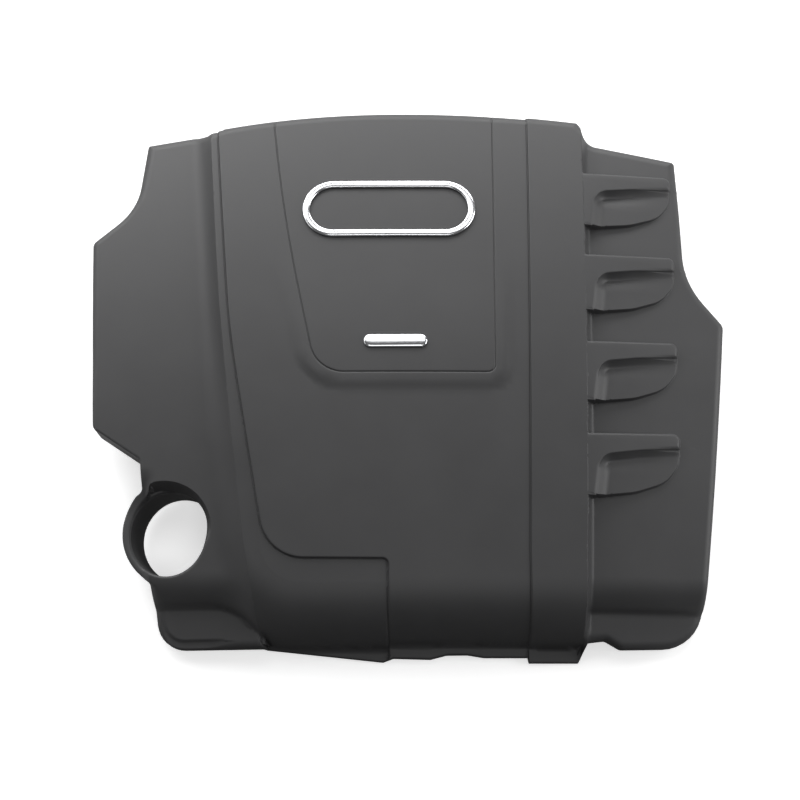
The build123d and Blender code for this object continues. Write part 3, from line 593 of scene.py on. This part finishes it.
def make_piece(name, surfaces, material, slot, *nodes):
    """Mesh object of the surfaces, at the origin, riding on the cover and standing for its CAD nodes."""
    points, faces, corner_normals = joined(surfaces)
    mesh = bpy.data.meshes.new(name)
    mesh.from_pydata(((points - MIDDLE) * MM).tolist(), [], faces.tolist())
    mesh.polygons.foreach_set("use_smooth", np.ones(len(faces), bool))
    mesh.normals_split_custom_set(corner_normals.tolist())
    mesh.materials.append(material)
    piece = bpy.data.objects.new(name, mesh)
    bpy.context.scene.collection.objects.link(piece)
    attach(piece, "root")
    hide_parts(*nodes)
    edge = np.sort(faces[:, [[0, 1], [1, 2], [2, 0]]].reshape(-1, 2), axis=1)
    count = np.unique(edge, axis=0, return_counts=True)[1]
    print(f"{name}: {len(points)} points, {len(faces)} triangles, {np.sum(count != 2)} open edges")
    return piece


# %% Outside, skirt and rim
def wall_strip(top, top_z, bottom, bottom_z, levels=4):
    """Strip between two closed lines with the same number of points, straight from one to the other."""
    share = np.linspace(0, 1, levels)[:, None, None]
    upper, lower = np.column_stack([top, top_z]), np.column_stack([bottom, bottom_z])
    return upper[None] + (lower - upper)[None] * share


def strip(points, turned=False):
    """A grid surface with normals from its triangles, turned over if wanted."""
    points, faces = grid_surface(points)
    faces = faces[:, ::-1] if turned else faces
    return points, faces, face_normals(points, faces)


outline_z, outline_low = skin_height(OUTLINE), lower_edge(OUTLINE)
inner_z, inner_low = skin_height(INNER_LINE, WALL), lower_edge(INNER_LINE)
print("skirt height:", np.round([(outline_z - outline_low).min(), (outline_z - outline_low).max()], 1))
shell = [(np.column_stack([TOP_PLAN, skin_height(TOP_PLAN)]), TOP_FACES, skin_normals(TOP_PLAN))]
shell.append(strip(wall_strip(OUTLINE, outline_z, OUTLINE, outline_low), turned=True))
rim_plan, rim_faces = triangles([OUTLINE, INNER_LINE], np.empty((0, 2)))
rim_points = np.column_stack([rim_plan, lower_edge(rim_plan)])
shell.append((rim_points, rim_faces[:, ::-1], np.tile((0.0, 0.0, -1.0), (len(rim_points), 1))))

# %% [markdown]
# ## The inside
# The inside follows the outside at the wall's depth, as the mould's core does. The filler tube leans out a
# little. Four sockets with gussets hold the rubber grommets, and flat seats take the pins of the trim.

# %% Inside and filler tube
inner_rows = [rows(RIDGE_LINE, [-20, -14, -10, -6, -2, 1, 3, 6], 8),
              rows(RIB_EDGE, [-5, -3, -1, 2, 5, 9, 14], 8),
              gill_rows(FINGER, [-6, -4.6, -3.6, -3, -2.5, -2, -1.2, 0, 1.5, 3, 5, 8, 11], 3),
              gill_rows(LENS, [-4.5, -3.6, -3, -2.5, -2, -1.2, 0, 2], 3),
              rows(SCOOP_LINE, [-5, -3, -1, 1, 3], 3),
              grid_points(np.arange(-278, 279, 8.0),
                          np.concatenate([np.arange(238, -140, -8.0), np.arange(-145, -214, -5.0),
                                          np.arange(-216, -242, -2.0)]))]
inner_plan = thinned(np.vstack(inner_rows), 0.8)
inner_plan = clear_of(inner_plan, INNER_LINE, 1.2)
inner_plan = inner_plan[-side_distance(inner_plan, INNER_HOLE, closed=True) > 1.0]
print("tube clear of the skirt by", round(side_distance(INNER_HOLE, INNER_LINE, closed=True).min(), 2), "mm")
inner_plan, inner_faces = triangles([INNER_LINE, INNER_HOLE], inner_plan)


def inside_height(plan):
    """Height of the inside of the roof."""
    return skin_height(plan, WALL)


shell.append((np.column_stack([inner_plan, inside_height(inner_plan)]), inner_faces[:, ::-1],
              -height_normals(inner_plan, inside_height)))
shell.append(strip(wall_strip(INNER_LINE, inner_z, INNER_LINE, inner_low)))
WELL_BOTTOM = 4.0
low_ring, low_outer = well_ring(WELL_BOTTOM), well_ring(WELL_BOTTOM, WALL)
low_z = np.full(96, WELL_BOTTOM)
shell.append(strip(wall_strip(HOLE, skin_height(HOLE), low_ring, low_z, 6)))
shell.append(strip(wall_strip(low_ring, low_z, low_outer, low_z, 2)))
shell.append(strip(wall_strip(INNER_HOLE, inside_height(INNER_HOLE), low_outer, low_z, 5), turned=True))
print(f"inside: {len(inner_plan)} points, {len(inner_faces)} triangles")


# %% Sockets, gussets and pin seats
def turned_solid(profile, x, y, count=40):
    """Closed ring: an (r, z) profile, drawn as a closed loop with its inside on the left, turned about an
    upright axis. Each run gives a band of its own, smooth round the turn and sharp at its edges."""
    start = np.array(profile, float)
    run = np.roll(start, -1, 0) - start
    facing = run[:, ::-1] * (1, -1) / np.hypot(*run.T)[:, None]
    turn = np.linspace(0, 2 * np.pi, count, endpoint=False)[:, None, None]
    r, z = np.stack([start, start + run], 1).transpose(2, 0, 1)
    points = np.stack([x + r * np.cos(turn), y + r * np.sin(turn), z + 0 * turn], -1)
    out, up = np.repeat(facing[:, None], 2, 1).transpose(2, 0, 1)
    normals = np.stack([out * np.cos(turn), out * np.sin(turn), up + 0 * turn], -1)
    bands = 2 * np.arange(len(start))
    first = np.arange(count)[:, None] * 2 * len(start) + bands
    last = (np.arange(count)[:, None] + 1) % count * 2 * len(start) + bands
    a, b = first.ravel(), last.ravel()
    faces = np.vstack([np.column_stack([a, b, b + 1]), np.column_stack([a, b + 1, a + 1])])
    return points.reshape(-1, 3), faces, normals.reshape(-1, 3)


def plate(profile, x, y, angle, thick):
    """Closed flat plate: an (r, z) outline stood on a line through the axis, with a thickness."""
    r, z = np.array(profile, float).T
    along, aside = np.array([math.cos(angle), math.sin(angle)]), np.array([-math.sin(angle), math.cos(angle)])
    faces_plan = np.stack([np.column_stack([(x, y) + r[:, None] * along + s * thick / 2 * aside, z])
                           for s in (-1, 1)])
    count = len(r)
    fan = np.column_stack([np.zeros(count - 2, int), np.arange(1, count - 1), np.arange(2, count)])
    i, j = np.arange(count), np.roll(np.arange(count), -1)
    sides = np.vstack([np.column_stack([i, j + count, j]), np.column_stack([i, i + count, j + count])])
    faces = np.vstack([fan, fan[:, ::-1] + count, sides])
    points = faces_plan.reshape(-1, 3)
    flat = points[faces]
    normal = np.cross(flat[:, 1] - flat[:, 0], flat[:, 2] - flat[:, 0])
    normal /= np.linalg.norm(normal, axis=1)[:, None]
    return flat.reshape(-1, 3), np.arange(3 * len(faces)).reshape(-1, 3), np.repeat(normal, 3, 0)


def under_roof(surface, roof):
    """A turned solid whose top rings follow the slope of the roof's inside."""
    points, faces, normals = surface
    top = points[:, 2] > roof - 3
    points[top, 2] += inside_height(points[top, :2]) - roof
    return points, faces, normals


SOCKETS = [(-138, 150), (128, 150), (-100, -112), (128, -112)]
SOCKET_BOTTOM, SOCKET_BORE, SOCKET_R, GROMMET_TOP = 34.0, 10.15, 12.95, 48.15
for x, y in SOCKETS:
    roof = float(inside_height(np.array([(x, y)], float))[0])
    shell.append(under_roof(turned_solid([(SOCKET_BORE, SOCKET_BOTTOM + 0.6),
                                          (SOCKET_BORE + 0.6, SOCKET_BOTTOM),
                               (SOCKET_R - 0.6, SOCKET_BOTTOM), (SOCKET_R, SOCKET_BOTTOM + 0.6),
                               (SOCKET_R + 0.4, roof - 2), (SOCKET_R + 1.8, roof + 1.2), (7.35, roof + 1.2),
                               (7.35, GROMMET_TOP), (SOCKET_BORE, GROMMET_TOP)], x, y), roof))
    for quarter in np.radians([0, 90, 180, 270]):
        reach = np.linspace(SOCKET_R + 16, SOCKET_R - 1, 5)
        top = inside_height(np.column_stack([x + reach * np.cos(quarter), y + reach * np.sin(quarter)])) + 1.2
        web = [(SOCKET_R - 1, roof - 24), (SOCKET_R, roof - 24), (reach[0], top[0] - 4), *zip(reach, top)]
        shell.append(plate(web, x, y, quarter, 2.2))
half_x, half_y = (LOOP_LENGTH - LOOP_WIDTH) / 2, (LOOP_WIDTH - LOOP_BAND) / 2
LOOP_PINS = [(LOOP_X + i * half_x, LOOP_Y + j * half_y) for i in (-1, 1) for j in (-1, 1)]
BAR_PINS = [(BAR_X + i * BAR_LENGTH / 3, BAR_Y) for i in (-1, 1)]
for x, y in LOOP_PINS + BAR_PINS:
    roof = float(inside_height(np.array([(x, y)], float))[0])
    shell.append(turned_solid([(2.2, roof - 2), (6.0, roof - 2), (6.5, roof - 1.5), (6.9, roof + 1),
                               (2.2, roof + 1)],
                              x, y, 28))
print(f"{len(SOCKETS)} sockets and {len(LOOP_PINS + BAR_PINS)} pin seats")

# %% [markdown]
# ## Materials
# Each finish starts from the real one. The cover is glass-filled nylon moulded against an etched tool: a dark
# grey, a fine grain and a dull sheen. The grommets are moulded rubber, the pad is open-cell foam, the trim is
# satin chrome on plastic and the push nuts are spring steel. Patterns read Object coordinates, so they keep
# their real size.

# %% Node and colour helpers
def linear(text):
    """Linear colour of an sRGB hex value: the sRGB curve, undone for each channel."""
    value = np.array([int(text[i:i + 2], 16) for i in (1, 3, 5)]) / 255
    return (*np.where(value <= 0.04045, value / 12.92, ((value + 0.055) / 1.055) ** 2.4).tolist(), 1.0)


def per_metre(size_mm):
    """Scale of a pattern on Object coordinates whose features have this size."""
    return 1000.0 / size_mm


def add(tree, kind, settings=(), links=()):
    """Adds a shader node: settings go to its sockets or its own properties, links feed its sockets."""
    node = tree.nodes.new("ShaderNode" + kind)
    for name, value in dict(settings).items():
        if name in node.inputs:
            node.inputs[name].default_value = value
        else:
            setattr(node, name, value)
    for name, source in dict(links).items():
        tree.links.new(source, node.inputs[name])
    return node


def new_material(name):
    """An empty node material and the places that its patterns read."""
    material = bpy.data.materials.new(name)
    material.use_nodes = True
    material.node_tree.nodes.clear()
    return material, material.node_tree, add(material.node_tree, "TexCoord").outputs["Object"]


def noise(tree, place, size_mm, **settings):
    """Noise with features of this size."""
    return add(tree, "TexNoise", {"Scale": per_metre(size_mm), **settings}, {"Vector": place}).outputs["Fac"]


def tones(tree, value, low, dark, high, light):
    """Colour that goes from a dark to a light tone as the value goes from low to high."""
    node = add(tree, "ValToRGB", {}, {"Fac": value})
    first, last = node.color_ramp.elements
    first.position, first.color = low, linear(dark)
    last.position, last.color = high, linear(light)
    return node.outputs["Color"]


def spread(tree, value, low, high):
    """The value, 0 to 1, spread from low to high."""
    return add(tree, "MapRange", {"To Min": low, "To Max": high}, {"Value": value}).outputs["Result"]


def relief(tree, height, strength, distance):
    """Normal of a fine relief, its depth in metres."""
    node = add(tree, "Bump", {"Strength": strength, "Distance": distance}, {"Height": height})
    return node.outputs["Normal"]


def finished(material, settings, links):
    """The material with its shader and output."""
    shader = add(material.node_tree, "BsdfPrincipled", settings, links)
    add(material.node_tree, "OutputMaterial", {}, {"Surface": shader.outputs["BSDF"]})
    return material


# %% Moulded nylon
def moulded_nylon():
    """Glass-filled nylon 6 from an etched tool: the etched grain, about 0.7 mm, is drawn as 1.1 mm so that it
    shows, and slow flow marks about 50 mm wide shift the tone and the dullness by a little."""
    material, tree, place = new_material("moulded_nylon_etched_grain")
    flow = noise(tree, place, 50, Detail=3.0, Roughness=0.55)
    grain = noise(tree, place, 1.1, Detail=2.0, Roughness=0.6)
    return finished(material, {"IOR": 1.53}, {"Base Color": tones(tree, flow, 0.3, "#2f2f30", 0.7, "#333334"),
                                              "Roughness": spread(tree, flow, 0.50, 0.58),
                                              "Normal": relief(tree, grain, 0.25, 0.00012)})


NYLON = moulded_nylon()
print("material:", NYLON.name)


# %% Rubber, foam, chrome and steel
def moulded_rubber():
    """Moulded rubber: nearly black, dull, with a faint bloom in spots of about 3 mm."""
    material, tree, place = new_material("moulded_rubber_bloom")
    bloom = noise(tree, place, 3, Detail=4.0)
    return finished(material, {"IOR": 1.52, "Roughness": 0.68},
                    {"Base Color": tones(tree, bloom, 0.35, "#161617", 0.75, "#262627"),
                     "Normal": relief(tree, bloom, 0.2, 0.0001)})


def open_cell_foam():
    """Open-cell polyurethane foam: cells of about 0.8 mm, drawn as 1.6 mm so that they show, with no gloss.
    The colour goes dark inside each cell as painted shade in its hollow, and paler on the walls."""
    material, tree, place = new_material("open_cell_foam")
    cells = add(tree, "TexVoronoi", {"Scale": per_metre(1.6)}, {"Vector": place}).outputs["Distance"]
    return finished(material, {"Roughness": 0.95, "Specular IOR Level": 0.15, "Sheen Weight": 0.15},
                    # painted shade: the colour darkens towards each cell's middle, where its hollow lies
                    {"Base Color": tones(tree, cells, 0.1, "#232325", 0.7, "#4a4a4d"),
                     "Normal": relief(tree, cells, 0.7, 0.0006)})


def satin_chrome():
    """Satin chrome on plastic: a bright metal whose fine satin, about 0.3 mm and drawn as 0.6 mm, spreads the
    reflection."""
    material, tree, place = new_material("satin_chrome_plate")
    satin = noise(tree, place, 0.6, Detail=2.0)
    return finished(material, {"Base Color": linear("#e6e7ea"), "Metallic": 1.0},
                    {"Roughness": spread(tree, satin, 0.14, 0.24)})


def spring_steel():
    """Plain spring steel strip: grey metal with rolling lines about 0.4 mm apart."""
    material, tree, place = new_material("rolled_spring_steel")
    lines = add(tree, "Mapping", {"Scale": (1.0, 0.05, 1.0)}, {"Vector": place}).outputs["Vector"]
    rolled = noise(tree, lines, 0.4, Detail=2.0)
    return finished(material, {"Base Color": linear("#8f9093"), "Metallic": 1.0},
                    {"Roughness": spread(tree, rolled, 0.26, 0.42)})


RUBBER, FOAM, CHROME, STEEL = moulded_rubber(), open_cell_foam(), satin_chrome(), spring_steel()
print("materials:", ", ".join(m.name for m in (RUBBER, FOAM, CHROME, STEEL)))

# %% Put the shell together
cover = make_piece("cover_moulding", shell, NYLON, "moulded_plastic", "cover_shell")

# %% [markdown]
# ## Foam pad
# Under the roof lies a pad of open-cell foam that dulls the engine's noise. It is glued along the roof, its
# lower edges are soft and round, and its upper face has a pocket over each trim pin. Its two faces are
# heights over plan again, and a strip round the edge closes it.

# %% Foam pad
bite_turn = np.radians(np.linspace(66, -40, 14))
bite = np.column_stack([-100 + 32 * np.cos(bite_turn), -112 + 32 * np.sin(bite_turn), 0 * bite_turn])
FOAM_LINE = divided(rounded_line([(-70, -149.5, 6), (83.5, -149.5, 20), (83.5, 204.5, 20), (-87.5, 204.5, 20),
                                  (-87.5, -80, 6), *bite]), 5.0)
GLUE_DEPTH, FOAM_DEPTH = 1.2, 15.1


def foam_top(plan):
    """The glued face, along the roof, with a round pocket 5.7 mm deep over each pin."""
    away = np.min([np.hypot(*(plan - place).T) for place in LOOP_PINS + BAR_PINS], axis=0)
    roof = across(roof_section(plan[:, 1], -GLUE_DEPTH, **CENTRE), plan[:, 0])
    return roof - 5.9 * smooth((9.4 - away) / 0.6)


def foam_bottom(plan):
    """The lower face: full depth in the middle, with a quarter-round edge and a slow unevenness."""
    edge = np.clip(side_distance(plan, FOAM_LINE, closed=True), 0, 6)
    round_off = 6 - np.sqrt(36 - (6 - edge) ** 2)
    uneven = 0.35 * np.sin(plan[:, 0] / 17) * np.sin(plan[:, 1] / 23 + 1)
    return across(roof_section(plan[:, 1], -FOAM_DEPTH, **CENTRE), plan[:, 0]) + 0.4 + uneven + round_off


foam_points = [rows(FOAM_LINE, [0.3, 1.2, 2.6, 4.4, 6.5], 5, closed=True)]
foam_points += [rows(slot_line(x, y, 18.2, 18.2), [-0.5, -0.2, 0.1, 0.4], 2, closed=True)
                for x, y in LOOP_PINS + BAR_PINS]
foam_points.append(grid_points(np.arange(-84, 84, 6.0), np.arange(-146, 204, 6.0)))
foam_points = thinned(np.vstack(foam_points), 0.25)
foam_points = foam_points[side_distance(foam_points, FOAM_LINE, closed=True) > 0.2]
foam_plan, foam_faces = triangles([FOAM_LINE], foam_points)
foam = [(np.column_stack([foam_plan, foam_top(foam_plan)]), foam_faces, height_normals(foam_plan, foam_top)),
        (np.column_stack([foam_plan, foam_bottom(foam_plan)]), foam_faces[:, ::-1],
         -height_normals(foam_plan, foam_bottom)),
        strip(wall_strip(FOAM_LINE, foam_top(FOAM_LINE), FOAM_LINE, foam_bottom(FOAM_LINE), 4), turned=True)]
pad = make_piece("foam_pad", foam, FOAM, "acoustic_foam", "acoustic_foam_pad")

# %% [markdown]
# ## Bright trim
# The badge panel carries two plain bright pieces: an oval loop and a small bar. Each is a profile carried
# along a path, a low dome with rounded shoulders, that sits on the panel and is held by pins through it.

# %% Trim loop and bar
def panel_height(plan):
    """Height of the panel under the trim."""
    return centre_height(plan, 0.0)


def pin(x, y, top):
    """A trim pin: a plain round rod with a chamfered tail, down through the roof."""
    tail = float(inside_height(np.array([(x, y)], float))[0]) - 4.8
    return turned_solid([(0, tail), (1.5, tail), (2.0, tail + 0.6), (2.0, top), (0, top)], x, y, 24)


DOME = np.array([(-1.0, 0.1), (-1.0, 0.34), (-0.95, 0.56), (-0.82, 0.76), (-0.6, 0.91), (-0.3, 0.98),
                 (0, 1.0), (0.3, 0.98), (0.6, 0.91), (0.82, 0.76), (0.95, 0.56),
                 (1.0, 0.34), (1.0, 0.1), (0, 0.1)])


def domed_loop(line, band, high):
    """A dome section carried round a closed line: across it by half the band, up by the height."""
    ahead = np.roll(line, -1, 0) - np.roll(line, 1, 0)
    normal = (ahead / np.hypot(*ahead.T)[:, None])[:, ::-1] * (-1, 1)
    plan = line[None] + normal[None] * DOME[:, :1, None] * band / 2
    z = panel_height(plan.reshape(-1, 2)).reshape(plan.shape[:2]) + DOME[:, 1:] * high
    points, faces = grid_surface(np.dstack([plan, z]), wrap_rows=True)
    return points, faces, face_normals(points, faces)


TRIM_HIGH, BAR_HIGH = 3.0, 2.5
middle_line = slot_line(LOOP_X, LOOP_Y, LOOP_LENGTH - LOOP_BAND, LOOP_WIDTH - LOOP_BAND)
loop_parts = [domed_loop(middle_line, LOOP_BAND, TRIM_HIGH)]
loop_parts += [pin(x, y, float(panel_height(np.array([(x, y)]))[0]) + 1) for x, y in LOOP_PINS]
loop = make_piece("bright_loop", loop_parts, CHROME, "bright_trim", "trim_loop")


def domed_bar(x, y, length, width, high):
    """A slot shape with a domed top: rings shrink from its edge to its middle line as the dome rises."""
    rise = np.array([0.1, 0.1, 0.34, 0.6, 0.8, 0.92, 0.98, 1.0, 1.0])
    shrink = np.array([1.0, 0.0, 0.0, 0.06, 0.18, 0.36, 0.6, 0.85, 1.0])
    rings = np.stack([slot_line(x, y, length - s * width, width * (1 - s), 50) for s in shrink])
    z = panel_height(rings.reshape(-1, 2)).reshape(rings.shape[:2]) + rise[:, None] * high
    points, faces = grid_surface(np.dstack([rings, z]))
    return points, faces, face_normals(points, faces)


bar_parts = [domed_bar(BAR_X, BAR_Y, BAR_LENGTH, BAR_WIDTH, BAR_HIGH)]
bar_parts += [pin(x, y, float(panel_height(np.array([(x, y)]))[0]) + 1) for x, y in BAR_PINS]
bar = make_piece("bright_bar", bar_parts, CHROME, "bright_trim", "trim_bar")

# %% [markdown]
# ## Pieces that stay as the CAD made them
# The rubber grommets and the spring nuts have their true shapes already. They only need their finishes.

# %% Finishes of the CAD nodes
for name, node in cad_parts.items():
    finish = RUBBER if name.startswith("grommet") else STEEL if name == "trim_push_nuts" else NYLON
    node.data.materials.clear()
    node.data.materials.append(finish)
print("finished:", ", ".join(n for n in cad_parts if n.startswith(("grommet", "trim_push"))))

# %% [markdown]
# ## Floor, light and camera
# The cover lies on a white table in soft light. A wide softbox behind it lights the rear of the crown and
# lets the front shoulder go dark, and a pale world fills in. The floor takes the soft shadows and is white to
# the camera.

# %% Floor
def white_table():
    """Matt white table: to the camera it is white, with a little light of its own, and keeps the shadow. To
    all other rays it is pale behind and beside the cover, and grey in front as painted shade where the
    viewer stands, so that the front shoulder stays dark."""
    material, tree, place = new_material("matt_white_table")
    path = add(tree, "LightPath")
    white = add(tree, "BsdfPrincipled", {"Base Color": linear("#f4f4f4"), "Roughness": 0.9,
                                         "Specular IOR Level": 0.1, "Emission Color": (1, 1, 1, 1),
                                         "Emission Strength": 0.5})
    axes = add(tree, "SeparateXYZ", {}, {"Vector": place})
    off_middle = add(tree, "Math", {"operation": "ABSOLUTE"}, {0: axes.outputs["X"]})
    aside = add(tree, "MapRange", {"From Min": 0.2, "From Max": 0.34}, {"Value": off_middle.outputs["Value"]})
    behind = add(tree, "MapRange", {"From Min": -0.2, "From Max": 0.0}, {"Value": axes.outputs["Y"]})
    pale = add(tree, "Math", {"operation": "MAXIMUM"},
               {0: aside.outputs["Result"], 1: behind.outputs["Result"]})
    # painted shade: the table turns grey in front of the cover for every ray but the camera's
    shade = tones(tree, pale.outputs["Value"], 0.0, "#707070", 1.0, "#e8e8e8")
    grey = add(tree, "BsdfDiffuse", {}, {"Color": shade})
    seen = add(tree, "MixShader", {}, {0: path.outputs["Is Camera Ray"], 1: grey.outputs["BSDF"],
                                       2: white.outputs["BSDF"]})
    add(tree, "OutputMaterial", {}, {"Surface": seen.outputs["Shader"]})
    return material


floor_mesh = bpy.data.meshes.new("table")
floor_mesh.from_pydata([(-4, -4, 0), (4, -4, 0), (4, 4, 0), (-4, 4, 0)], [], [(0, 1, 2, 3)])
floor_mesh.materials.append(white_table())
floor = bpy.data.objects.new("table", floor_mesh)
bpy.context.scene.collection.objects.link(floor)

# %% Light
def softbox(name, place, target, size, power):
    """A rectangular area lamp that faces a point."""
    lamp = bpy.data.lights.new(name, "AREA")
    lamp.shape, lamp.size, lamp.size_y, lamp.energy = "RECTANGLE", size[0], size[1], power
    holder = bpy.data.objects.new(name, lamp)
    holder.location = place
    holder.rotation_euler = (Vector(target) - Vector(place)).to_track_quat("-Z", "Y").to_euler()
    bpy.context.scene.collection.objects.link(holder)
    return holder


middle = (0.0, 0.0, 0.05)
softbox("rear_softbox", (0.0, 1.9, 0.8), middle, (2.6, 0.8), 45)
softbox("rear_left_softbox", (-1.3, 1.3, 1.0), middle, (1.4, 0.9), 20)
softbox("high_softbox", (0.0, 1.1, 1.9), middle, (2.0, 0.8), 11)
softbox("front_softbox", (0.0, -0.9, 2.0), middle, (1.4, 0.8), 8)
softbox("left_softbox", (-1.7, 0.2, 0.7), middle, (1.4, 0.7), 3)
softbox("right_softbox", (1.7, 0.2, 0.7), middle, (1.4, 0.7), 18)
world = bpy.data.worlds.new("studio")
world.use_nodes = True
background = world.node_tree.nodes["Background"]
background.inputs["Color"].default_value = (1, 1, 1, 1)
background.inputs["Strength"].default_value = 0.12
bpy.context.scene.world = world

# %% Camera
camera = bpy.data.cameras.new("camera")
camera.lens, camera.sensor_width = 65.83, 36.0
camera_holder = bpy.data.objects.new("camera", camera)
target = Vector((-4.1, -20.6, 44.0)) * MM - Vector(MIDDLE) * MM
tilt = math.radians(16)
camera_holder.location = target + 1.277 * Vector((0, -math.sin(tilt), math.cos(tilt)))
camera_holder.rotation_euler = (tilt, 0, 0)
bpy.context.scene.collection.objects.link(camera_holder)
bpy.context.scene.camera = camera_holder
bpy.context.scene.view_settings.view_transform = "Standard"
